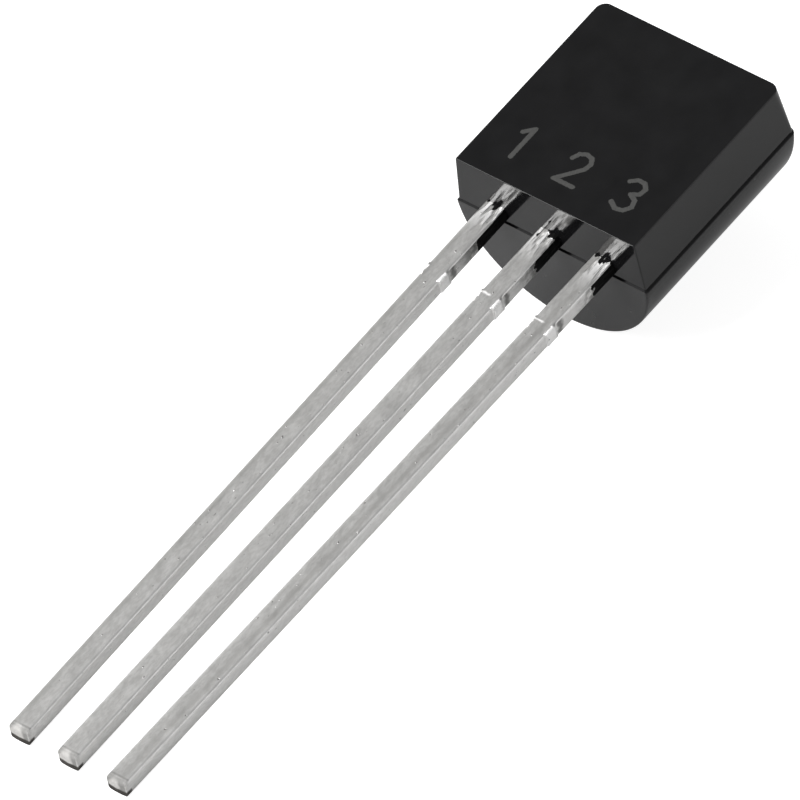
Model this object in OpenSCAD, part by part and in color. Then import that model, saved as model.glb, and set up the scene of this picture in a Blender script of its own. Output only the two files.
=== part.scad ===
// Three-lead transistor in a TO-92 case: a black epoxy body with one flat side and a half-round
// back, moulded over a stamped lead frame that carries a silicon chip and two bond wires.
// It lies at rest on its round back: the back's lower rim and the three lead tips touch the table.
// Millimetres and degrees. Seen from the flat side with the leads down, the leads are
// emitter, base and collector from left to right.

/* [Moulded body] */
// Width across the parting line
body_w = 4.5; // [4.3:0.02:4.7]
// Height of the back half at the parting line, along the leads
body_h = 4.65; // [4.3:0.05:4.7]
// Depth of the front half, from the parting plane to the flat face
front_depth = 1.2; // [1.1:0.05:1.4]
// Depth of the round back, from the parting plane to its crown
back_depth = 2.13; // [2.05:0.01:2.2]
// Draft of the front half's two sides
side_draft = 4.5; // [1:0.5:8]
// Draft of the front half's two ends
front_end_draft = 1.2; // [0.5:0.1:3]
// Draft of the back half's two ends
back_end_draft = 1.6; // [0.5:0.1:4]
// Ledge that the wider back half leaves on both sides of the parting line
side_ledge = 0.05; // [0.03:0.01:0.12]
// Ledge that the taller back half leaves on both ends of the parting line
end_ledge = 0.03; // [0.01:0.01:0.06]
// Radius of the front half's two upright corners on the end with the leads
lower_corner_r = 0.04; // [0.04:0.01:0.12]
// Radius of the flat face's two corners on the upper end
upper_corner_r = 0.15; // [0.1:0.01:0.25]
// Radius to which those two corners narrow down at the parting line
parting_corner_r = 0.06; // [0.04:0.01:0.15]
// Radius of the back half's two corners on the upper end
back_corner_r = 0.18; // [0.1:0.01:0.25]
// Round on the rim of the flat face
flat_rim_r = 0.03; // [0.02:0.01:0.04]

/* [Mould marks] */
// Diameter of the ejector pin's mark on the round back
ejector_d = 1.4; // [1:0.1:1.6]
// Depth of the ejector mark below the crown of the back
ejector_depth = 0.16; // [0.13:0.01:0.25]
// Width of the broken gate on the upper end
gate_w = 0.9; // [0.6:0.1:1.4]
// Thickness of the broken gate
gate_t = 0.22; // [0.15:0.01:0.3]
// Height that the broken gate stands proud
gate_h = 0.05; // [0.03:0.01:0.1]

/* [Leads outside] */
// Spacing of the leads where they leave the body
lead_pitch = 1.27; // [1.2:0.01:1.35]
// Width of a lead
lead_w = 0.45; // [0.38:0.01:0.55]
// Thickness of the lead frame strip
lead_t = 0.35; // [0.32:0.01:0.45]
// Free length of a lead, from the body's lower end to the tip
lead_len = 14.5; // [12:0.1:15]
// Distance of the strip's back face in front of the parting plane
lead_inset = 0.05; // [0.03:0.005:0.1]
// Angle by which the two outer leads lean in towards the middle one
toe_in = 0.5; // [0:0.02:0.6]
// Distance from the body to the middle of the cut tie bar
tie_bar_y = 1.86; // [1.6:0.02:2.2]
// Height of the tie bar's stubs along the lead
tie_bar_h = 0.3; // [0.2:0.01:0.4]
// Length of the stub that the cut leaves on each side
tie_stub = 0.025; // [0.01:0.005:0.06]
// Radius of the edge that the shear rolls over at the tip
tip_roll_r = 0.12; // [0.05:0.01:0.2]

/* [Lead frame inside] */
// Length of the leads inside the body before they widen
root_h = 0.7; // [0.55:0.05:0.9]
// Width of the emitter and base posts
post_w = 0.84; // [0.7:0.02:0.95]
// Height of the base post
base_post_h = 0.85; // [0.7:0.05:1]
// Height of the emitter post, which stands beside the chip pad
emitter_post_h = 1.9; // [1.6:0.05:2.2]
// Height of the chip pad on the collector lead
pad_h = 1.75; // [1.5:0.05:1.9]
// Distance that the chip pad runs past the collector lead's outer edge
pad_overhang = 0.14; // [0.1:0.01:0.2]
// Gap between neighbouring parts of the lead frame
frame_gap = 0.3; // [0.2:0.02:0.4]
// Diameter of the hole in the chip pad that keys it into the epoxy
key_hole_d = 0.44; // [0.3:0.02:0.5]
// Distance of the key hole's edge from the pad's upper edge
key_hole_rim = 0.18; // [0.12:0.02:0.25]

/* [Chip and bond wires] */
// Side of the square silicon chip
chip_side = 0.56; // [0.4:0.02:0.65]
// Thickness of the chip
chip_t = 0.2; // [0.15:0.01:0.28]
// Distance of the chip from the chip pad's lower and left edges
chip_margin = 0.26; // [0.15:0.01:0.35]
// Thickness of the solder layer under the chip
solder_t = 0.025; // [0.02:0.005:0.04]
// Width of the solder's border round the chip
solder_rim = 0.05; // [0.03:0.01:0.08]
// Distance of each bonding spot from the chip's centre
bond_offset = 0.14; // [0.08:0.01:0.18]
// Diameter of a bond wire
wire_d = 0.04; // [0.03:0.005:0.05]
// Diameter of the ball bond on the chip
ball_d = 0.1; // [0.08:0.01:0.12]
// Thickness of the ball bond
ball_t = 0.03; // [0.02:0.005:0.04]
// Rise of a wire's loop above its ball
loop_rise = 0.26; // [0.2:0.01:0.35]
// Length of the wedge that stitches a wire to its post
stitch_len = 0.12; // [0.08:0.01:0.16]
// Thickness of the stitched wedge
stitch_t = 0.015; // [0.01:0.005:0.02]

/* [Hidden] */
$fn = 96;

// Every sub-part is drawn in the package's own frame, with X across, Y from the leads to the
// body's upper end, Z out of the flat face, and the parting plane at z = 0.
half_w = body_w / 2;
back_r = (half_w * half_w + back_depth * back_depth) / (2 * back_depth);
back_end_inset = back_depth * tan(back_end_draft);
front_w = body_w - 2 * side_ledge;
front_h = body_h - 2 * end_ledge;
side_inset = front_depth * tan(side_draft);
front_end_inset = front_depth * tan(front_end_draft);
lead_front = lead_inset + lead_t;

// Lead frame: the posts sit on their leads, and the chip pad fills the room beside the emitter
// post and above the base post.
base_post_top = root_h + base_post_h;
emitter_post_right = -lead_pitch + post_w / 2;
pad_left = emitter_post_right + frame_gap;
pad_right = lead_pitch + lead_w / 2 + pad_overhang;
pad_bottom = base_post_top + frame_gap;
key_hole_x = (pad_left + pad_right) / 2;
key_hole_y = pad_bottom + pad_h - key_hole_rim - key_hole_d / 2;

chip_x = pad_left + chip_margin + chip_side / 2;
chip_y = pad_bottom + chip_margin + chip_side / 2;
chip_bottom = lead_front + solder_t;
chip_top = chip_bottom + chip_t;
emitter_bond = [chip_x - bond_offset, chip_y + bond_offset];
base_bond = [chip_x, chip_y - bond_offset];
emitter_stitch = [-lead_pitch, root_h + emitter_post_h - post_w / 2];
base_stitch = [0, root_h + base_post_h / 2];
wire_sides = 6;
wire_steps = 14;

// Rest position: the rim of the round back and the tips' back edges share the table plane.
rest_tilt = atan((back_depth + lead_inset) / (lead_len + back_end_inset));
rest_lift = lead_len * sin(rest_tilt) - lead_inset * cos(rest_tilt);
tips_y = (tip_roll_r - lead_len) * cos(rest_tilt)
       - (lead_front - tip_roll_r) * sin(rest_tilt) - tip_roll_r;
crown_y = (body_h - back_end_inset) * cos(rest_tilt) + back_depth * sin(rest_tilt);
overlap = 0.5;

module at_rest() {
    translate([0, -(tips_y + crown_y) / 2, rest_lift])
        rotate([rest_tilt, 0, 0])
            children();
}

// Body

// A corner of the flat face: a disc whose upper edge is rounded over
module rim_disc(r) {
    rotate_extrude($fn = 40)
        polygon(concat(
            [[0, 0], [r, 0]],
            [for (a = [15 : 15 : 90])
                [r - flat_rim_r + flat_rim_r * cos(a), flat_rim_r * sin(a)]],
            [[0, flat_rim_r]]));
}

module front_half() {
    lower = [-1, lower_corner_r, lower_corner_r];
    upper = [1, parting_corner_r, upper_corner_r];
    translate([0, body_h / 2, 0])
        hull() {
            for (sx = [-1, 1], end = [lower, upper]) {
                foot_r = end[1];
                flat_r = end[2];
                translate([sx * (front_w / 2 - foot_r), end[0] * (front_h / 2 - foot_r), 0])
                    cylinder(r = foot_r, h = 0.01, $fn = 40);
                translate([sx * (front_w / 2 - side_inset - flat_r),
                           end[0] * (front_h / 2 - front_end_inset - flat_r), front_depth - flat_rim_r])
                    rim_disc(flat_r);
            }
        }
}

// Plan of the back half, a little larger than the front half's all round
module back_plan() {
    lower_r = lower_corner_r + end_ledge;
    hull()
        for (sx = [-1, 1]) {
            translate([sx * (half_w - lower_r), lower_r])
                circle(r = lower_r);
            translate([sx * (half_w - back_corner_r), body_h - back_corner_r])
                circle(r = back_corner_r);
        }
}

// The round back is a cylinder's part below the parting plane, whose two ends lean in by their draft
module back_half() {
    intersection() {
        translate([0, 0, -back_depth])
            linear_extrude(height = back_depth)
                back_plan();
        rotate([-90, 0, 0])
            linear_extrude(height = body_h)
                intersection() {
                    translate([0, back_depth - back_r])
                        circle(r = back_r, $fn = 180);
                    translate([-half_w, 0])
                        square([body_w, back_depth]);
                }
        rotate([90, 0, 90])
            translate([0, 0, -half_w])
                linear_extrude(height = body_w)
                    polygon([[0, 0], [body_h, 0],
                             [body_h - back_end_inset, -back_depth], [back_end_inset, -back_depth]]);
    }
}

module gate_mark() {
    translate([-gate_w / 2, body_h - overlap, -gate_t])
        cube([gate_w, overlap + gate_h, gate_t]);
}

module ejector_mark() {
    translate([0, body_h / 2, -back_depth - overlap])
        cylinder(d = ejector_d, h = overlap + ejector_depth);
}

module moulded_body() {
    color([0.035, 0.035, 0.04])
        difference() {
            union() {
                front_half();
                back_half();
                gate_mark();
            }
            ejector_mark();
            emitter_metal();
            base_metal();
            collector_metal();
            solder();
            chip();
            bond_wire(emitter_bond, emitter_stitch);
            bond_wire(base_bond, base_stitch);
        }
}

// Leads

// Outline of a lead outside the body, with the stubs of the tie bar, from its middle line x = 0
module lead_outline(lean) {
    shift = lead_len * tan(lean);
    polygon([[-lead_w / 2, 0], [-lead_w / 2 + shift, -lead_len],
             [lead_w / 2 + shift, -lead_len], [lead_w / 2, 0]]);
    translate([tie_bar_y * tan(lean) - lead_w / 2 - tie_stub, -tie_bar_y - tie_bar_h / 2])
        square([lead_w + 2 * tie_stub, tie_bar_h]);
}

// The shear that cuts the lead to length rolls its front edge over
module tip_roll() {
    translate([0, -lead_len, lead_front])
        rotate([0, 90, 0])
            difference() {
                translate([-overlap, -overlap, -body_w])
                    cube([overlap + tip_roll_r, overlap + tip_roll_r, 2 * body_w]);
                translate([tip_roll_r, tip_roll_r, -2 * body_w])
                    cylinder(r = tip_roll_r, h = 4 * body_w);
            }
}

module strip(x, lean) {
    difference() {
        translate([0, 0, lead_inset])
            linear_extrude(height = lead_t) {
                translate([x, 0])
                    lead_outline(lean);
                translate([x - lead_w / 2, 0])
                    square([lead_w, root_h]);
                children();
            }
        tip_roll();
    }
}

module emitter_metal() {
    strip(-lead_pitch, toe_in)
        translate([-lead_pitch - post_w / 2, root_h])
            square([post_w, emitter_post_h]);
}

module base_metal() {
    strip(0, 0)
        translate([-post_w / 2, root_h])
            square([post_w, base_post_h]);
}

module collector_metal() {
    strip(lead_pitch, -toe_in) {
        translate([lead_pitch - lead_w / 2, root_h])
            square([lead_w, pad_bottom - root_h]);
        difference() {
            translate([pad_left, pad_bottom])
                square([pad_right - pad_left, pad_h]);
            translate([key_hole_x, key_hole_y])
                circle(d = key_hole_d);
        }
    }
}

module emitter_lead() {
    color([0.72, 0.72, 0.71]) emitter_metal();
}

module base_lead() {
    color([0.72, 0.72, 0.71]) base_metal();
}

module collector_lead() {
    color([0.72, 0.72, 0.71]) collector_metal();
}

// Chip

module solder() {
    side = chip_side + 2 * solder_rim;
    translate([chip_x - side / 2, chip_y - side / 2, lead_front])
        cube([side, side, solder_t]);
}

module chip() {
    translate([chip_x - chip_side / 2, chip_y - chip_side / 2, chip_bottom])
        cube([chip_side, chip_side, chip_t]);
}

module solder_layer() {
    color([0.6, 0.6, 0.62]) solder();
}

module silicon_chip() {
    color([0.35, 0.38, 0.42]) chip();
}

// Bond wires

function bezier(p, t) =
    pow(1 - t, 3) * p[0] + 3 * t * pow(1 - t, 2) * p[1] + 3 * t * t * (1 - t) * p[2] + pow(t, 3) * p[3];

function bezier_slope(p, t) =
    3 * pow(1 - t, 2) * (p[1] - p[0]) + 6 * t * (1 - t) * (p[2] - p[1]) + 3 * t * t * (p[3] - p[2]);

// A wire loop in the plane x = run, z = height, swept as rings of wire_sides points
module wire_loop(path) {
    rings = [for (i = [0 : wire_steps])
        let (t = i / wire_steps, p = bezier(path, t), s = bezier_slope(path, t), n = [-s[1], s[0]] / norm(s))
            for (k = [0 : wire_sides - 1])
                let (a = (k + 0.5) * 360 / wire_sides)
                    [p[0] + n[0] * cos(a) * wire_d / 2, sin(a) * wire_d / 2, p[1] + n[1] * cos(a) * wire_d / 2]];
    skin = [for (i = [0 : wire_steps - 1], k = [0 : wire_sides - 1])
        let (a = i * wire_sides + k, b = i * wire_sides + (k + 1) % wire_sides)
            each [[a, b, a + wire_sides], [b, b + wire_sides, a + wire_sides]]];
    first_cap = [for (k = [wire_sides - 1 : -1 : 0]) k];
    last_cap = [for (k = [0 : wire_sides - 1]) wire_steps * wire_sides + k];
    polyhedron(points = rings, faces = concat([first_cap], skin, [last_cap]));
}

// A bond wire from its ball on the chip to the wedge stitched on a post
module bond_wire(from, to) {
    run = norm(to - from);
    heading = atan2(to[1] - from[1], to[0] - from[0]);
    start_z = chip_top + ball_t / 2;
    crest_z = chip_top + ball_t + loop_rise;
    end_z = lead_front + wire_d / 2;
    translate([from[0], from[1], 0])
        rotate([0, 0, heading]) {
            translate([0, 0, chip_top])
                cylinder(d = ball_d, h = ball_t, $fn = 24);
            wire_loop([[0, start_z], [0, crest_z], [run * 0.55, crest_z], [run, end_z]]);
            translate([run - stitch_len / 2, -wire_d * 0.75, lead_front])
                cube([stitch_len, wire_d * 1.5, stitch_t]);
        }
}

module emitter_wire() {
    color([0.85, 0.65, 0.25]) bond_wire(emitter_bond, emitter_stitch);
}

module base_wire() {
    color([0.85, 0.65, 0.25]) bond_wire(base_bond, base_stitch);
}

at_rest() moulded_body();
at_rest() emitter_lead();
at_rest() base_lead();
at_rest() collector_lead();
at_rest() solder_layer();
at_rest() silicon_chip();
at_rest() emitter_wire();
at_rest() base_wire();
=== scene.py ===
import math

import bpy
from mathutils import Matrix, Vector


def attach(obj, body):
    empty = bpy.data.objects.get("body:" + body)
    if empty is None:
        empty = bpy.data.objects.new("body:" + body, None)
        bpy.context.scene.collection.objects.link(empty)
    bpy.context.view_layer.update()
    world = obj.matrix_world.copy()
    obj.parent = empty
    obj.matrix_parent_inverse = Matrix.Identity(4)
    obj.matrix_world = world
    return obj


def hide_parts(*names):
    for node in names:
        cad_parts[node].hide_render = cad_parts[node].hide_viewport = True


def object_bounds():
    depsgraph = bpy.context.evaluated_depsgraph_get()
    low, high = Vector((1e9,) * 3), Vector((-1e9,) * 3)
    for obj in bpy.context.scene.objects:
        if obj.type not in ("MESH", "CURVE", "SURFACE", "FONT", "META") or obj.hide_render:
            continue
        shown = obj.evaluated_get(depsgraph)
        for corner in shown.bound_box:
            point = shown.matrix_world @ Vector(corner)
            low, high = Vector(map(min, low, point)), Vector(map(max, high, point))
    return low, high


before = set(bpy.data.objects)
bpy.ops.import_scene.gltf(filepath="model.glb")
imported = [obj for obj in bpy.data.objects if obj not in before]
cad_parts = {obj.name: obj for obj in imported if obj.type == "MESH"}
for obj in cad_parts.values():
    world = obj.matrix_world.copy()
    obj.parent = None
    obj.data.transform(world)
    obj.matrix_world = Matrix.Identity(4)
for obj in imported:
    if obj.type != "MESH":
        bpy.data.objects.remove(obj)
cad_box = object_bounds()

# LEAD FRAME. Three legs stamped from one copper strip and plated with tin: each ends inside the body
# in a post or in the chip's pad. A tie bar held them in line until the body was cast and was then
# sheared off, which left a short stub on both sides of each leg. Sizes are in millimetres.
pitch = 1.27                     # between neighbouring legs, where they leave the body
leg_width, leg_thick = 0.45, 0.35
leg_length = 14.5                # outside the body
leg_back = 0.05                  # back face of the strip, in front of the mould's parting plane
toe_in = math.radians(0.5)       # the outer legs lean towards the middle one
edge_round = 0.045               # stamping and tin soften the strip's long edges
ripple, ripple_seed = 0.0045, 7  # the tin's uneven thickness
tie_bar = 1.86                   # from the body to the middle of the tie bar
tie_height, tie_stub = 0.3, 0.025
tip_roll = 0.12                  # the shear that cuts a leg to length rolls its front edge over
tip_bulge = 0.015                # and leaves the end bulging a little
leg_root = 0.7                   # length inside the body before a leg widens
post_width, base_post, emitter_post = 0.84, 0.85, 1.9
frame_gap = 0.3                  # between the chip's pad and the posts
pad_height, pad_overhang = 1.75, 0.14
key_hole = 0.44                  # hole in the pad that keys it into the epoxy
key_hole_rim = 0.18              # from that hole to the pad's upper edge

# The body's sizes that the part's resting place depends on
body_height, back_depth = 4.65, 2.13
back_draft = math.radians(1.6)

# The part lies on the rim of its round back and on its tips. Every piece is drawn upright, with X
# across, Y from the tips to the body and Z out of the flat face, and is then laid in this place.
crown_inset = back_depth * math.tan(back_draft)
tilt = math.atan((back_depth + leg_back) / (leg_length + crown_inset))
crown_reach = (body_height - crown_inset) * math.cos(tilt) + back_depth * math.sin(tilt)
lift = leg_length * math.sin(tilt) - leg_back * math.cos(tilt)
MM = 0.001                       # in metres, Blender's unit
seam = 0.0004                    # points of a sheet nearer than this are sewn together
solid_seam = 0.001               # the same for the loose faces of the plain solids
crease = math.radians(35)        # a sharper turn between two faces stays an edge
resting_place = Vector((0, cad_box[1].y - crown_reach * MM, lift * MM))


class Value:
    """An output of a node. Python's operators on values add Math nodes."""

    def __init__(self, tree, socket):
        self.tree, self.socket = tree, socket

    def math(self, operation, *others):
        """A Math node on this value and the others."""
        terms = dict(enumerate((self, *others)))
        return self.tree.node("ShaderNodeMath", {"operation": operation}, terms)

    def after(self, operation, first):
        """The same with this value as the second term."""
        return self.tree.node("ShaderNodeMath", {"operation": operation}, {0: first, 1: self})

    def __neg__(self):
        return self.math("MULTIPLY", -1)

    def __abs__(self):
        return self.math("ABSOLUTE")

    def __pow__(self, other):
        return self.math("POWER", other)

    def __lt__(self, other):
        return self.math("LESS_THAN", other)

    def __gt__(self, other):
        return self.math("GREATER_THAN", other)

    def parts(self):
        """The three numbers of a vector."""
        split = self.tree.node("ShaderNodeSeparateXYZ", {}, {0: self}).socket.node
        return [Value(self.tree, out) for out in split.outputs]


for sign, operation in {"add": "ADD", "sub": "SUBTRACT", "mul": "MULTIPLY", "truediv": "DIVIDE"}.items():
    setattr(Value, f"__{sign}__", lambda self, other, kind=operation: self.math(kind, other))
    setattr(Value, f"__r{sign}__", lambda self, other, kind=operation: self.after(kind, other))


class Tree:
    """A node tree in the making."""

    def __init__(self, nodes):
        self.nodes = nodes

    def node(self, kind, settings, sockets, out=0):
        """Adds a node, makes its settings, fills its sockets with values or links, gives an output."""
        made = self.nodes.nodes.new(kind)
        for name, value in settings.items():
            setattr(made, name, value)
        for name, value in sockets.items():
            for item in value if isinstance(value, list) else [value]:
                if isinstance(item, Value):
                    self.nodes.links.new(item.socket, made.inputs[name])
                else:
                    made.inputs[name].default_value = item
        return Value(self, made.outputs[out]) if made.outputs else None

    def vector(self, x, y, z):
        """Three numbers made one vector."""
        return self.node("ShaderNodeCombineXYZ", {}, {0: x, 1: y, 2: z})


def between(value, low, high, smooth=True):
    """0 where value is low, 1 where it is high, and a soft step in between."""
    kind = {"interpolation_type": "SMOOTHSTEP" if smooth else "LINEAR"}
    return value.tree.node("ShaderNodeMapRange", kind, {
        "Value": value, "From Min": low, "From Max": high})


def track(value, stops):
    """A broken line: stops are pairs of a place on value's scale and the height there."""
    height = stops[0][1]
    for (a, low), (b, high) in zip(stops, stops[1:]):
        height = height + (high - low) * between(value, a, b, smooth=False)
    return height


def size_tree(name, sizes):
    """A geometry tree with one named input for each size. Returns the tree and its inputs as values."""
    group = bpy.data.node_groups.new(name, "GeometryNodeTree")
    for size in sizes:
        group.interface.new_socket(size, in_out="INPUT", socket_type="NodeSocketFloat")
    group.interface.new_socket("Mesh", in_out="OUTPUT", socket_type="NodeSocketGeometry")
    tree = Tree(group)
    inputs = tree.node("NodeGroupInput", {}, {}).socket.node
    return tree, [Value(tree, inputs.outputs[size]) for size in sizes]


def grid(tree, columns, rows):
    """A sheet of quads and the values that count its columns and rows."""
    sheet = tree.node("GeometryNodeMeshGrid", {}, {
        "Size X": columns, "Size Y": rows, "Vertices X": columns + 1, "Vertices Y": rows + 1})
    x, y, _ = tree.node("GeometryNodeInputPosition", {}, {}).parts()
    return sheet, x + columns / 2, y + rows / 2


def shaped(tree, sheet, x, y, z):
    """The sheet with its points at x, y and z, sewn up where they meet and with its faces outwards."""
    mesh = tree.node("GeometryNodeSetPosition", {}, {
        "Geometry": sheet, "Position": tree.vector(x, y, z)})
    mesh = tree.node("GeometryNodeMergeByDistance", {}, {"Geometry": mesh, "Distance": seam})
    return tree.node("GeometryNodeFlipFaces", {}, {"Mesh": mesh})


def finish_tree(tree, mesh, material, cast_in=()):
    """Lays the mesh in its resting place, takes out of it what is cast into it, and ends the tree.

    Faces are smooth, and creased where they meet at a clear angle."""
    mesh = tree.node("GeometryNodeTransform", {}, {
        "Geometry": mesh, "Translation": resting_place / MM, "Rotation": (tilt, 0, 0)})
    inners = []
    for piece in cast_in:
        inner = tree.node("GeometryNodeObjectInfo", {"transform_space": "RELATIVE"}, {
            "Object": piece}, "Geometry")
        inner = tree.node("GeometryNodeTransform", {}, {
            "Geometry": inner, "Scale": (1 / MM, 1 / MM, 1 / MM)})
        inner = tree.node("GeometryNodeRemoveAttribute", {}, {
            "Geometry": inner, "Name": "custom_normal"})
        inner = tree.node("GeometryNodeMergeByDistance", {}, {"Geometry": inner, "Distance": solid_seam})
        inners.append(inner)
    if inners:
        mesh = tree.node("GeometryNodeMeshBoolean", {"operation": "DIFFERENCE", "solver": "EXACT"}, {
            "Mesh 1": mesh, "Mesh 2": inners})
    mesh = tree.node("GeometryNodeTransform", {}, {"Geometry": mesh, "Scale": (MM, MM, MM)})
    mesh = tree.node("GeometryNodeSetShadeSmooth", {"domain": "FACE"}, {
        "Geometry": mesh, "Shade Smooth": True})
    angle = tree.node("GeometryNodeInputMeshEdgeAngle", {}, {})
    mesh = tree.node("GeometryNodeSetShadeSmooth", {"domain": "EDGE"}, {
        "Geometry": mesh, "Selection": angle > crease, "Shade Smooth": False})
    mesh = tree.node("GeometryNodeRealizeInstances", {}, {0: mesh})
    mesh = tree.node("GeometryNodeSetMaterial", {}, {"Geometry": mesh, "Material": material})
    tree.node("NodeGroupOutput", {}, {0: mesh})
    return tree.nodes


def grown(name, group, sizes):
    """The plain mesh that a geometry tree makes at these sizes, as a new object."""
    seedling = bpy.data.objects.new(name + "_tree", bpy.data.meshes.new(name))
    bpy.context.scene.collection.objects.link(seedling)
    modifier = seedling.modifiers.new(name, "NODES")
    modifier.node_group = group
    for item in group.interface.items_tree:
        if item.in_out == "INPUT":
            modifier[item.identifier] = sizes[item.name]
    shape = seedling.evaluated_get(bpy.context.evaluated_depsgraph_get())
    mesh = bpy.data.meshes.new_from_object(shape)
    bpy.data.objects.remove(seedling)
    mesh.name = name
    piece = bpy.data.objects.new(name, mesh)
    bpy.context.scene.collection.objects.link(piece)
    return piece


def part_coordinates(tree):
    """Object coordinates, turned back to the upright part and measured in millimetres."""
    spot = tree.node("ShaderNodeTexCoord", {}, {}, "Object")
    return tree.node("ShaderNodeMapping", {"vector_type": "TEXTURE"}, {
        "Vector": spot, "Location": resting_place, "Rotation": (tilt, 0, 0), "Scale": (MM, MM, MM)})


def noise(tree, spot, stretch, detail=2.0, rough=0.5):
    """Noise with this many lumps to the millimetre along X, Y and Z."""
    scaled = tree.node("ShaderNodeVectorMath", {"operation": "MULTIPLY"}, {0: spot, 1: stretch})
    return tree.node("ShaderNodeTexNoise", {}, {
        "Vector": scaled, "Scale": 1.0, "Detail": detail, "Roughness": rough})


def mixed(tree, share, low, high):
    """A colour between two colours."""
    return tree.node("ShaderNodeMix", {"data_type": "RGBA"}, {0: share, 6: low, 7: high}, 2)


def new_material(name):
    """An empty material and its tree."""
    material = bpy.data.materials.new(name)
    material.use_nodes = True
    material.node_tree.nodes.clear()
    return material, Tree(material.node_tree)


def shader(tree, sockets, height=None, depth=0.0):
    """A Principled shader. height is what its bump reads, depth the bump's size in metres."""
    if height is not None:
        sockets["Normal"] = tree.node("ShaderNodeBump", {}, {
            "Strength": 1.0, "Distance": depth, "Height": height})
    return tree.node("ShaderNodeBsdfPrincipled", {}, sockets)


def surface(tree, top):
    """Ends a material's tree with this shader."""
    tree.node("ShaderNodeOutputMaterial", {}, {"Surface": top})


tin, tree = new_material("tinned_copper")
spot = part_coordinates(tree)
x, y, z = spot.parts()
drawn = noise(tree, spot, (12, 0.7, 12), 3)            # lines that the rolling and stamping left
mottle = noise(tree, spot, (5, 2.2, 5), 4)             # the plating's soft patches
grain = noise(tree, spot, (18, 7, 18), 3, 0.6)
fleck = noise(tree, spot, (16, 9, 16), 1)
bright_fleck = between(fleck, 0.74, 0.78)
pit = between(fleck, 0.25, 0.21)
leg_number = (x / pitch).math("ROUND")                 # -1, 0 and 1
from_middle = x - leg_number * pitch - y * leg_number * math.tan(toe_in)
off_middle = abs(from_middle)
# The outer legs have a long darker band along the front
band_middle = leg_number * 0.11 - 0.055
band = abs(leg_number) * between(abs(from_middle - band_middle) + drawn * 0.05, 0.13, 0.03)
on_side = between(off_middle, leg_width * 0.47, leg_width * 0.48)
torn = noise(tree, spot, (9, 7, 9), 4)                 # roughens the edges of the marks
# Resin that leaked between the mould and the legs' cut sides, black and ragged at its end
resin_end = leg_number * 0.12 - 0.98 + torn * 0.5
resin = on_side * between(y, resin_end - 0.02, resin_end + 0.02)
smear = on_side * between(y, resin_end - 0.6, resin_end, smooth=False) * between(torn, 0.4, 0.6)
wisp = noise(tree, spot, (6, 3, 6), 3)
ragged = noise(tree, spot, (7, 2.5, 7), 2)
resin = resin.math("MAXIMUM", between(y + ragged * 0.9, 0.41, 0.45))
# Where the tie bar was sheared off: the cuts with a painted highlight, painted shade in a nick above each,
# and the press's mark in front, painted as a highlight
cut = between(abs(y + tie_bar + 0.03), tie_height * 0.5, tie_height * 0.35)
cut = cut * between(off_middle + torn * 0.1, leg_width * 0.5, leg_width * 0.54)
nick = on_side * between(abs(y + tie_bar - tie_height * 1.2 + torn * 0.2), 0.12, 0.02)
press_mark = between(abs(y + tie_bar - 0.14 + torn * 0.12), 0.045, 0.0)
press_mark = press_mark * between(from_middle + torn * 0.1, 0.1, 0.0) * (leg_number > -0.5)
# The sheared tip: dull and frayed, with painted shade along its foot next to the floor, and a painted
# highlight spot on its end with painted shade round the spot
sheared = between(y, 0.18 - leg_length, 0.13 - leg_length)
frayed = between(y, 0.14 - leg_length, 0.07 - leg_length)
foot = sheared * between(z + torn * 0.02, leg_back + 0.16, leg_back + 0.11)
across_end = from_middle + 0.03 + torn * 0.06
up_end = z - leg_back - 0.19
from_spot = (across_end * across_end + up_end * up_end).math("SQRT")
painted_tip_highlight = between(from_spot + (leg_number > 0.5) * 0.03, 0.2, 0.12)
# A painted highlight along each leg's front edge on the right
painted_edge_highlight = between(from_middle, 0.12, 0.17) * between(z, 0.37, 0.395) * (0.2 + mottle * 0.4)
# Next to the body the mould's jaws and the trimming left ridges with grooves between them: the ridges get a
# painted highlight and the grooves painted shade
near_body = between(y + wisp * 0.4, -0.7, -0.1)
ridge = noise(tree, spot, (9, 1.6, 9), 2)
groove = near_body * between(ridge, 0.5, 0.4)
near_body = near_body * between(ridge, 0.48, 0.6)
colour = mixed(tree, mottle, (0.7, 0.695, 0.682, 1), (0.79, 0.785, 0.775, 1))
colour = mixed(tree, drawn * 0.6, colour, (0.55, 0.545, 0.53, 1))
colour = mixed(tree, band * 0.42, colour, (0.4, 0.395, 0.38, 1))
colour = mixed(tree, between(grain, 0.36, 0.64) * 0.4, colour, (0.44, 0.435, 0.42, 1))
# Painted light in the next lines: the sides a little lighter, painted highlights on the cuts, the ridges next
# to the body, the front's right edge and the press's mark, and painted shade in the grooves and the nicks
colour = mixed(tree, on_side * 0.3 + cut * 0.9 + near_body * 0.8, colour, (0.96, 0.955, 0.95, 1))
colour = mixed(tree, painted_edge_highlight, colour, (0.98, 0.975, 0.97, 1))
colour = mixed(tree, groove * 0.6, colour, (0.2, 0.195, 0.19, 1))
colour = mixed(tree, press_mark * 0.8, colour, (0.97, 0.965, 0.96, 1))
colour = mixed(tree, nick * 0.8, colour, (0.12, 0.118, 0.115, 1))
colour = mixed(tree, pit * 0.7, colour, (0.1, 0.098, 0.095, 1))
colour = mixed(tree, smear * 0.75, colour, (0.09, 0.088, 0.085, 1))
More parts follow.
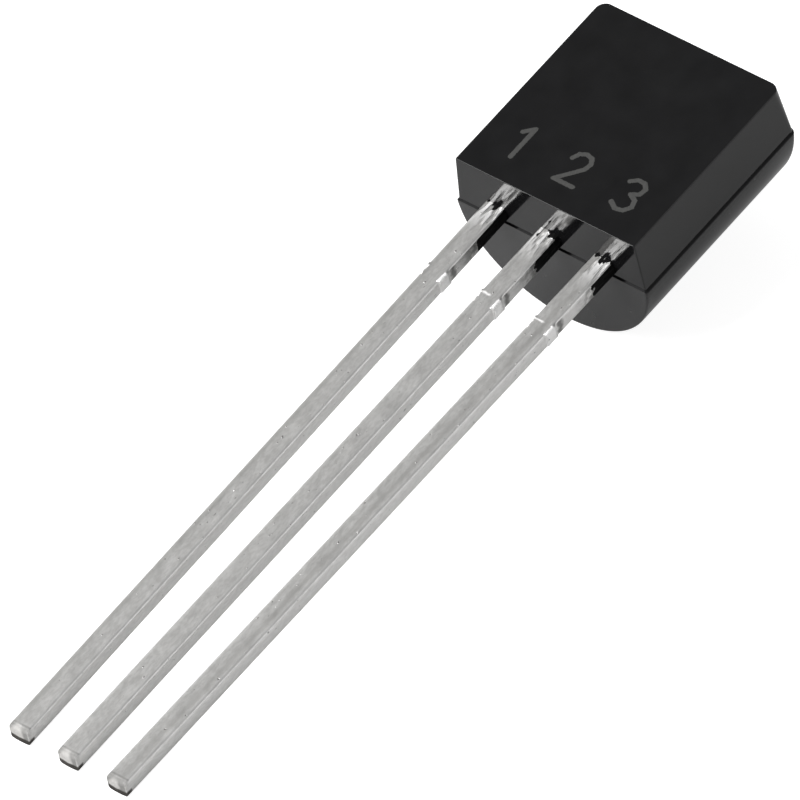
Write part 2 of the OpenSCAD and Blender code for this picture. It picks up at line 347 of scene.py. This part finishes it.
# Painted light on the sheared tip: a highlight spot with shade round it, and shade along its foot
painted_tip_light_and_shade = mixed(tree, painted_tip_highlight, (0.3, 0.297, 0.29, 1), (0.63, 0.62, 0.607, 1))
colour = mixed(tree, sheared * between(from_middle, 0.22, 0.18) * 0.8, colour, painted_tip_light_and_shade)
colour = mixed(tree, foot * 0.93, colour, (0.06, 0.055, 0.05, 1))
height = drawn * 0.5 + mottle * 1.5 + grain * 0.25 + bright_fleck * 0.6 - pit * 0.8 + resin * 0.6
height = height + cut * 3.0 * torn + near_body * 1.5 - groove
roughness = 0.33 + mottle * 0.12 + drawn * 0.06 + grain * 0.04 - bright_fleck * 0.2 + frayed * 0.42
roughness = roughness + groove * 0.2 + cut * 0.3 + press_mark * 0.25 - painted_edge_highlight * 0.1
relief = 6e-6
plating = shader(tree, {
    "Base Color": colour, "Metallic": 1.0, "Roughness": roughness}, height, relief)
leaked = shader(tree, {
    "Base Color": (0.003, 0.003, 0.003, 1), "Roughness": 0.8, "Specular IOR Level": 0.1}, height, relief)
surface(tree, tree.node("ShaderNodeMixShader", {}, {0: resin, 1: plating, 2: leaked}))

# The leg's tree. Columns go round its section, from the middle of the back over the side to the middle
# of the front and on, and rows go from the tip to the head. around is how far a column is from the back.
tree, sizes = size_tree("stamped_leg", [
    "Place", "Lean", "Width", "Thickness", "Back", "Length", "Edge round", "Tie bar", "Tie height",
    "Tie stub", "Tip roll", "Bulge", "Root", "Head start", "Head height", "Head width", "Head shift",
    "Key hole", "Key hole height", "Ripple", "Seed"])
(place, lean, width, thick, back, length, edge, bar, bar_height, stub, roll, bulge, root_in,
 head, head_height, head_width, head_shift, hole, hole_height, uneven, seed) = sizes
face_columns, turn_columns, side_columns = 4, 3, 4
back_end = face_columns
side_start = back_end + turn_columns
side_end = side_start + side_columns
front_start = side_end + turn_columns
half = front_start + face_columns
tip_rows, shaft_rows, neck_rows = 6, 124, 20
r_roll = 1 + tip_rows
r_bar = r_roll + shaft_rows
r_neck = r_bar + 5
r_exit = r_neck + neck_rows
r_head = r_exit + 2
rows = r_head + 3
sheet, column, row = grid(tree, 2 * half, rows)
side = (column - half).math("SIGN")
around = abs(column - half)
roll_angle = track(row, [(1, 0.0), (r_roll, math.pi / 2)])
y = track(row, [
    (r_roll, roll - length), (r_bar, -bar - bar_height / 2), (r_bar + 1, -bar - bar_height / 2 + 0.01),
    (r_bar + 4, bar_height / 2 - bar - 0.01), (r_bar + 5, bar_height / 2 - bar), (r_exit, 0.0),
    (r_exit + 1, root_in), (r_head, head), (r_head + 1, head + 0.002), (r_head + 2, head + head_height)])
wide = track(row, [
    (r_bar, width), (r_bar + 1, width + 2 * stub), (r_bar + 4, width + 2 * stub), (r_bar + 5, width),
    (r_head, width), (r_head + 1, head_width)])
shift = track(row, [(r_head, 0.0), (r_head + 1, head_shift)])
cap = track(row, [(0, 0.0), (1, 1.0), (rows - 1, 1.0), (rows, 0.0)])
core_x = track(around, [(0, 0.0), (back_end, 1.0), (front_start, 1.0), (half, 0.0)]) * (wide / 2 - edge)
corner_roll = roll * (1 - 0.8 * (core_x / (width / 2)) ** 2)
y = y + (corner_roll * (1 - roll_angle.math("COSINE")) - roll) * (row < r_roll + 0.5)
front = back + thick - corner_roll * (1 - roll_angle.math("SINE"))
core_z = track(around, [(side_start, back + edge), (side_end, front - edge)])
angle = track(around, [
    (back_end, -math.pi / 2), (side_start, 0.0), (side_end, 0.0), (front_start, math.pi / 2)])
round_way = column * (math.pi / half)
lumps = noise(tree, tree.vector(
    round_way.math("COSINE"), y * 1.6, round_way.math("SINE") + seed + place * 9), (1, 1, 1), 2)
reach = edge - uneven * lumps * (y < 0.0)
middle = back + (thick - roll) / 2
leg_x = place + shift - y.math("MINIMUM", 0.0) * lean.math("TANGENT")
leg_x = leg_x + side * cap * (core_x + reach * angle.math("COSINE"))
leg_z = middle + cap * (core_z + reach * angle.math("SINE") - middle)
from_middle = cap * (core_x + reach * angle.math("COSINE")) / (width / 2)
leg_y = y + bulge * from_middle ** 2 * between(row, r_roll + 1, 1, smooth=False)
mesh = shaped(tree, sheet, leg_x, leg_y, leg_z)
drill = tree.node("GeometryNodeMeshCylinder", {}, {"Vertices": 32, "Radius": hole / 2, "Depth": 2.0})
drill = tree.node("GeometryNodeTransform", {}, {
    "Geometry": drill, "Translation": tree.vector(place + head_shift, hole_height, 0.0)})
drilled = tree.node("GeometryNodeMeshBoolean", {"operation": "DIFFERENCE", "solver": "EXACT"}, {
    "Mesh 1": mesh, "Mesh 2": drill})
mesh = tree.node("GeometryNodeSwitch", {"input_type": "GEOMETRY"}, {
    "Switch": hole > 0.0, "False": mesh, "True": drilled})
leg_tree = finish_tree(tree, mesh, tin)

post_right = post_width / 2 - pitch
pad_left = post_right + frame_gap
pad_right = pitch + leg_width / 2 + pad_overhang
pad_bottom = leg_root + base_post + frame_gap
# Each leg's plain node, place and lean, then its head's start, height, width, shift and hole
legs = {
    "emitter_leg": ("emitter_lead", -pitch, toe_in, leg_root, emitter_post, post_width, 0.0, 0.0),
    "base_leg": ("base_lead", 0.0, 0.0, leg_root, base_post, post_width, 0.0, 0.0),
    "collector_leg": ("collector_lead", pitch, -toe_in, pad_bottom, pad_height, pad_right - pad_left,
                      (pad_left + pad_right) / 2 - pitch, key_hole),
}
pieces = {}
for name, (node, at, leaning, start, tall, broad, moved, drilled_hole) in legs.items():
    leg = grown(name, leg_tree, {
        "Place": at, "Lean": leaning, "Width": leg_width, "Thickness": leg_thick, "Back": leg_back,
        "Length": leg_length, "Edge round": edge_round, "Tie bar": tie_bar, "Tie height": tie_height,
        "Tie stub": tie_stub, "Tip roll": tip_roll, "Bulge": tip_bulge, "Root": leg_root, "Head start": start,
        "Head height": tall, "Head width": broad, "Head shift": moved, "Key hole": drilled_hole,
        "Key hole height": start + tall - key_hole_rim - key_hole / 2, "Ripple": ripple,
        "Seed": float(ripple_seed)})
    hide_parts(node)
    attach(leg, "root")
    pieces[name] = leg

# CHIP AND WIRES. A square of silicon, soldered to the collector leg's pad, and two gold wires that are
# bonded to the chip and to the posts of the other legs. The body seals them in, so they keep the
# plain solids' shapes and get their own materials' looks.
solder, tree = new_material("chip_solder")
spot = part_coordinates(tree)
frost = noise(tree, spot, (20, 20, 20), 3)
surface(tree, shader(tree, {
    "Base Color": mixed(tree, frost, (0.36, 0.36, 0.37, 1), (0.5, 0.5, 0.51, 1)), "Metallic": 1.0,
    "Roughness": 0.3 + frost * 0.25}, frost, 4e-6))

silicon, tree = new_material("silicon_chip")
spot = part_coordinates(tree)
shine = noise(tree, spot, (6, 6, 6), 2)
surface(tree, shader(tree, {
    "Base Color": mixed(tree, shine, (0.16, 0.18, 0.22, 1), (0.24, 0.26, 0.3, 1)), "Metallic": 0.8,
    "Roughness": 0.12 + shine * 0.08}))

gold, tree = new_material("gold_wire")
spot = part_coordinates(tree)
drawn = noise(tree, spot, (50, 50, 50), 2)             # marks of the die that the wire was drawn through
surface(tree, shader(tree, {
    "Base Color": mixed(tree, drawn, (0.8, 0.55, 0.18, 1), (0.9, 0.66, 0.28, 1)), "Metallic": 1.0,
    "Roughness": 0.18 + drawn * 0.1}))

inside = {"solder_layer": solder, "silicon_chip": silicon, "emitter_wire": gold, "base_wire": gold}
for node, material in inside.items():
    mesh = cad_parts[node].data
    mesh.materials.clear()
    mesh.materials.append(material)

# MOULDED BODY. Black silica-filled epoxy, cast round the lead frame in a two-part steel mould: the
# back half is a little wider and taller than the front, which leaves a ledge along the parting line.
body_width, front_depth = 4.5, 1.197
side_draft, front_draft = math.radians(4.5), math.radians(1.2)
side_ledge, end_ledge = 0.05, 0.03                     # how far the back half stands out
ledge_slope = 0.016                                    # the ledge sinks this much below the parting plane
ledge_round = 0.018
lower_corner, upper_corner = 0.02, 0.21                # radii, at the legs and at the flat's other end
parting_corner, back_corner = 0.06, 0.13               # the upper ones at the parting line and behind it
flat_rim, side_rim = 0.009, 0.03                       # rounds of the flat's edges, at the ends and sides
ejector_width, ejector_depth = 1.4, 0.16               # the pin that pushed the body out of the mould
gate_width, gate_thick, gate_height = 0.9, 0.22, 0.05  # where the epoxy ran in, broken off
gate_root, gate_gap = 0.3, 0.01                        # its length inside, and its drop from the parting

# Pin numbers, etched by a laser near the legs: strokes in parts of the figures' height
figure_height, etched_line, figures_above = 0.78, 0.1, 0.62
figures = {
    -1: [(-0.17, 0.78), (0.05, 1.0), (0.05, 0.0)],
    0: [(-0.27, 0.74), (-0.19, 0.92), (-0.02, 1.0), (0.16, 0.95), (0.25, 0.79), (0.2, 0.58), (-0.28, 0.0),
        (0.29, 0.0)],
    1: [(-0.26, 0.86), (-0.1, 0.99), (0.1, 0.98), (0.23, 0.84), (0.19, 0.64), (0.0, 0.54), (0.21, 0.43),
        (0.27, 0.22), (0.14, 0.04), (-0.07, 0.0), (-0.27, 0.13)],
}


def distance_to(tree, spot, points):
    """The distance from spot to a line drawn through these points."""
    nearest = None
    for start, end in zip(points, points[1:]):
        stroke = end - start
        ahead = tree.node("ShaderNodeVectorMath", {"operation": "SUBTRACT"}, {0: spot, 1: start})
        share = tree.node("ShaderNodeVectorMath", {"operation": "DOT_PRODUCT"}, {
            0: ahead, 1: stroke / stroke.length_squared}, "Value")
        share = share.math("MAXIMUM", 0.0).math("MINIMUM", 1.0)
        foot = tree.node("ShaderNodeVectorMath", {"operation": "SCALE"}, {0: stroke, "Scale": share})
        off = tree.node("ShaderNodeVectorMath", {"operation": "DISTANCE"}, {0: ahead, 1: foot}, "Value")
        nearest = off if nearest is None else nearest.math("MINIMUM", off)
    return nearest


epoxy, tree = new_material("black_epoxy")
spot = part_coordinates(tree)
x, y, z = spot.parts()
filler = noise(tree, spot, (55, 55, 55), 3)
cloud = noise(tree, spot, (1.6, 1.3, 1.6), 4)
burst = noise(tree, spot, (24, 24, 24), 2)             # the laser's uneven pulses
scuff = between(noise(tree, spot, (5, 7, 5), 3), 0.66, 0.74) * (z < 0.0)
etched = None
for pin, figure in figures.items():
    points = [Vector((pin * pitch + right * figure_height, figures_above + up * figure_height, 0.0))
              for right, up in figure]
    off = distance_to(tree, tree.vector(x, y, 0.0), points)
    etched = off if etched is None else etched.math("MINIMUM", off)
etched = between(etched + burst * 0.03, etched_line / 2 + 0.025, etched_line / 2 + 0.005)
etched = etched * (z > front_depth - 0.01)
colour = mixed(tree, cloud, (0.0025, 0.0025, 0.0027, 1), (0.009, 0.009, 0.0095, 1))
# Painted light: the back half, below the ledge, a little lighter than the front
colour = mixed(tree, z < -0.03, colour, (0.02, 0.02, 0.0205, 1))
colour = mixed(tree, scuff * 0.3, colour, (0.06, 0.06, 0.062, 1))
colour = mixed(tree, etched * (0.5 + burst * 0.6), colour, (0.055, 0.055, 0.053, 1))
surface(tree, shader(tree, {
    "Base Color": colour, "Roughness": 0.05 + cloud * 0.06 + etched * 0.45 + scuff * 0.2,
    "Specular IOR Level": 0.35}, filler * (1.0 + etched * 4.0), 0.3e-6))

# The body's tree. Columns go round its section, from the middle of the back over the ledge and the side
# to the middle of the flat and on, and rows go from the lower end to the upper one.
tree, sizes = size_tree("cast_body", [
    "Width", "Height", "Front depth", "Back depth", "Side draft", "Front draft", "Back draft",
    "Side ledge", "End ledge", "Ledge slope", "Lower corner", "Upper corner", "Parting corner",
    "Back corner", "Rim", "Side rim", "Ledge round",
    "Ejector width", "Ejector depth", "Gate width", "Gate thickness", "Gate height"])
(width, height, front, back, side_lean, front_lean, back_lean, wide_step, end_step, drop, low_r, flat_r,
 foot_r, back_r, rim, side_r, ledge_r, pin, pin_depth, gate_w, gate_t, gate_h) = sizes
arc_end, ledge_start, ledge_end, rim_start, rim_end, half = 24, 28, 29, 32, 38, 50
cap_end, corner_end, far_corner, far_cap, rows = 8, 15, 47, 54, 62
sheet, column, row = grid(tree, 2 * half, rows)
side = (column - half).math("SIGN")
around = abs(column - half)
arc_r = (width * width / 4 + back * back) / (back * 2)
arc_z = arc_r - back
in_front = between(around, ledge_start, ledge_end, smooth=False)
climb = track(around, [(ledge_end, 0.0), (ledge_end + 1, 0.03), (rim_start - 1, 0.97), (rim_start, 1.0)])
across = track(around, [(rim_end, 1.0), (rim_end + 1, 0.985), (half, 0.0)])
turned = between(around, rim_start, rim_end, smooth=False)
ledge_angle = track(around, [(arc_end, 0.0), (ledge_start, math.pi / 2)])
corner_angle = side_lean + (math.pi / 2 - side_lean) * turned
foot = width / 2 - wide_step
core_x = foot - (front - side_r) * side_lean.math("TANGENT") - side_r / side_lean.math("COSINE")
low_r = low_r + end_step * (1 - in_front)
high_r = back_r + in_front * (foot_r + climb * (flat_r - foot_r) - back_r)
low_angle = track(row, [(cap_end, 0.0), (corner_end, math.pi / 2)])
high_angle = track(row, [(far_corner, math.pi / 2), (far_cap, 0.0)])
low_gap = low_r * (1 - low_angle.math("COSINE"))
high_gap = high_r * (1 - high_angle.math("COSINE"))
plan_inset = low_r * (1 - low_angle.math("SINE")) + high_r * (1 - high_angle.math("SINE"))
end_gap = low_gap.math("MINIMUM", high_gap)
drop = drop * (end_gap / low_r).math("MINIMUM", 1.0)
last_angle = ((arc_z + drop + ledge_r) / arc_r).math("ARCSINE") * -1
arc_angle = -math.pi / 2 + (last_angle + math.pi / 2) * between(around, 0, arc_end, smooth=False)
short = rim - end_gap.math("MINIMUM", rim)
rim_inset = rim - (rim * rim - short * short).math("MAXIMUM", 0.0).math("SQRT")
fade = arc_angle.math("COSINE") ** 3
arc_inset = rim_inset + (plan_inset - rim_inset) * fade
back_x = (arc_r - arc_inset) * arc_angle.math("COSINE") - ledge_r * (1 - ledge_angle.math("COSINE"))
back_z = arc_z + (arc_r - arc_inset * (1 - fade)) * arc_angle.math("SINE")
back_z = back_z + ledge_r * ledge_angle.math("SINE")
foot_in = foot - plan_inset
top_x = (core_x - plan_inset) * across + side_r * corner_angle.math("COSINE")
top_z = front - side_r + (side_r - rim_inset) * corner_angle.math("SINE")
front_x = foot_in + climb * (top_x - foot_in)
cap = track(row, [
    (0, 0.0), (cap_end - 1, 0.985), (cap_end, 1.0), (far_cap, 1.0), (far_cap + 1, 0.985), (rows, 0.0)])
body_x = side * cap * (back_x + in_front * (front_x - back_x))
body_z = cap * (back_z + drop + in_front * (climb * top_z - back_z - drop)) - drop * (1 - in_front)
end_y = in_front * end_step + body_z.math("MAXIMUM", 0.0) * front_lean.math("TANGENT")
end_y = end_y + (-body_z).math("MAXIMUM", 0.0) * back_lean.math("TANGENT")
along = track(row, [(corner_end, 0.0), (corner_end + 1, 0.008), (far_corner - 1, 0.992), (far_corner, 1.0)])
body_y = (end_y + low_gap) * (1 - along) + (height - end_y - high_gap) * along
mesh = shaped(tree, sheet, body_x, body_y, body_z)
# The gate's broken stub, just behind the parting plane
gate = tree.node("GeometryNodeMeshCube", {}, {
    "Size": tree.vector(gate_w, gate_h + gate_root, gate_t - gate_gap),
    "Vertices X": 26, "Vertices Y": 4, "Vertices Z": 8})
gate = tree.node("GeometryNodeTransform", {}, {
    "Geometry": gate,
    "Translation": tree.vector(0.0, height + (gate_h - gate_root) / 2, -gate_gap / 2 - gate_t / 2)})
spot = tree.node("GeometryNodeInputPosition", {}, {})
torn = noise(tree, spot, (9, 9, 9), 3) * (spot.parts()[1] > height)
gate = tree.node("GeometryNodeSetPosition", {}, {
    "Geometry": gate, "Offset": tree.vector(0.0, torn * gate_h * -1, 0.0)})
mesh = tree.node("GeometryNodeMeshBoolean", {"operation": "UNION", "solver": "EXACT"}, {
    "Mesh 2": [mesh, gate]})
ejector = tree.node("GeometryNodeMeshCylinder", {}, {
    "Vertices": 64, "Radius": pin / 2, "Depth": pin_depth * 2})
ejector = tree.node("GeometryNodeTransform", {}, {
    "Geometry": ejector, "Translation": tree.vector(0.0, height / 2, -back)})
mesh = tree.node("GeometryNodeMeshBoolean", {"operation": "DIFFERENCE", "solver": "EXACT"}, {
    "Mesh 1": mesh, "Mesh 2": ejector})
cast_in = [*pieces.values(), *(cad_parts[node] for node in inside)]
body_tree = finish_tree(tree, mesh, epoxy, cast_in)

body = grown("epoxy_body", body_tree, {
    "Width": body_width, "Height": body_height, "Front depth": front_depth, "Back depth": back_depth,
    "Side draft": side_draft, "Front draft": front_draft, "Back draft": back_draft,
    "Side ledge": side_ledge, "End ledge": end_ledge, "Ledge slope": ledge_slope,
    "Lower corner": lower_corner, "Upper corner": upper_corner, "Parting corner": parting_corner,
    "Back corner": back_corner, "Rim": flat_rim, "Side rim": side_rim, "Ledge round": ledge_round,
    "Ejector width": ejector_width, "Ejector depth": ejector_depth, "Gate width": gate_width,
    "Gate thickness": gate_thick, "Gate height": gate_height})
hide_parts("moulded_body")
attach(body, "root")

# FLOOR, LIGHT AND CAMERA. A sheet of white paper under three soft round lamps: a key in front on the
# left, a faint one behind on the left and a fill behind on the right. A long lens looks down on the
# flat side, from the right of the tips.
floor_size = 1.5                 # in metres
bpy.ops.mesh.primitive_plane_add(size=floor_size)
floor = bpy.context.object
floor.name = "floor"
paper, tree = new_material("white_paper")
path = tree.node("ShaderNodeLightPath", {}, {}).socket.node
to_camera = Value(tree, path.outputs["Is Camera Ray"])
mirrored = Value(tree, path.outputs["Is Glossy Ray"]) + Value(tree, path.outputs["Is Transmission Ray"])
fibre = noise(tree, tree.node("ShaderNodeTexCoord", {}, {}, "Object"), (900, 900, 900), 2)
surface(tree, shader(tree, {
    "Base Color": mixed(tree, fibre, (0.43, 0.43, 0.43, 1), (0.47, 0.47, 0.47, 1)), "Roughness": 0.9,
    "Specular IOR Level": 0.0, "Emission Color": (1, 1, 1, 1),
    "Emission Strength": 0.08 + to_camera * 0.79 + mirrored * 0.08}))
floor.data.materials.append(paper)

world = bpy.data.worlds.new("studio")
bpy.context.scene.world = world
world.use_nodes = True
world.node_tree.nodes.clear()
tree = Tree(world.node_tree)
path = tree.node("ShaderNodeLightPath", {}, {}).socket.node
to_camera = Value(tree, path.outputs["Is Camera Ray"])
sky = tree.node("ShaderNodeBackground", {}, {"Color": (1, 1, 1, 1), "Strength": 0.25 + to_camera * 0.75})
tree.node("ShaderNodeOutputWorld", {}, {"Surface": sky})


def lamp(name, toward, distance, size, power):
    """A round lamp, unseen by the camera, in this direction from the part. Metres and watts."""
    data = bpy.data.lights.new(name, "AREA")
    data.shape, data.size, data.energy = "DISK", size, power
    made = bpy.data.objects.new(name, data)
    bpy.context.scene.collection.objects.link(made)
    direction = Vector(toward).normalized()
    made.location = direction * distance
    made.rotation_euler = direction.to_track_quat("Z", "Y").to_euler()
    made.visible_camera = False


lamp("key_softbox", (-0.494, -0.546, 0.677), 0.4, 0.36, 3.0)
lamp("rim_softbox", (-0.85, 0.45, 0.35), 0.4, 0.32, 0.15)
lamp("fill_softbox", (0.735, 0.38, 0.534), 0.4, 0.37, 0.31)

azimuth, elevation, camera_roll = math.radians(40.980), math.radians(42.910), math.radians(3.770)
camera_distance = 0.291898       # in metres
sensor, lens = 36, 708.291
aim = Vector((-1.0333, 1.4027, 0.1918)) * MM
level = math.cos(elevation)
toward_camera = Vector((math.sin(azimuth) * level, -math.cos(azimuth) * level, math.sin(elevation)))
camera_data = bpy.data.cameras.new("camera")
camera_data.sensor_width, camera_data.lens = sensor, lens
camera_data.clip_start, camera_data.clip_end = 0.01, 10
camera = bpy.data.objects.new("camera", camera_data)
bpy.context.scene.collection.objects.link(camera)
camera.location = aim + toward_camera * camera_distance
facing = (-toward_camera).to_track_quat("-Z", "Y").to_matrix() @ Matrix.Rotation(-camera_roll, 3, "Z")
camera.rotation_euler = facing.to_euler()
bpy.context.scene.camera = camera
bpy.context.scene.view_settings.view_transform = "Standard"
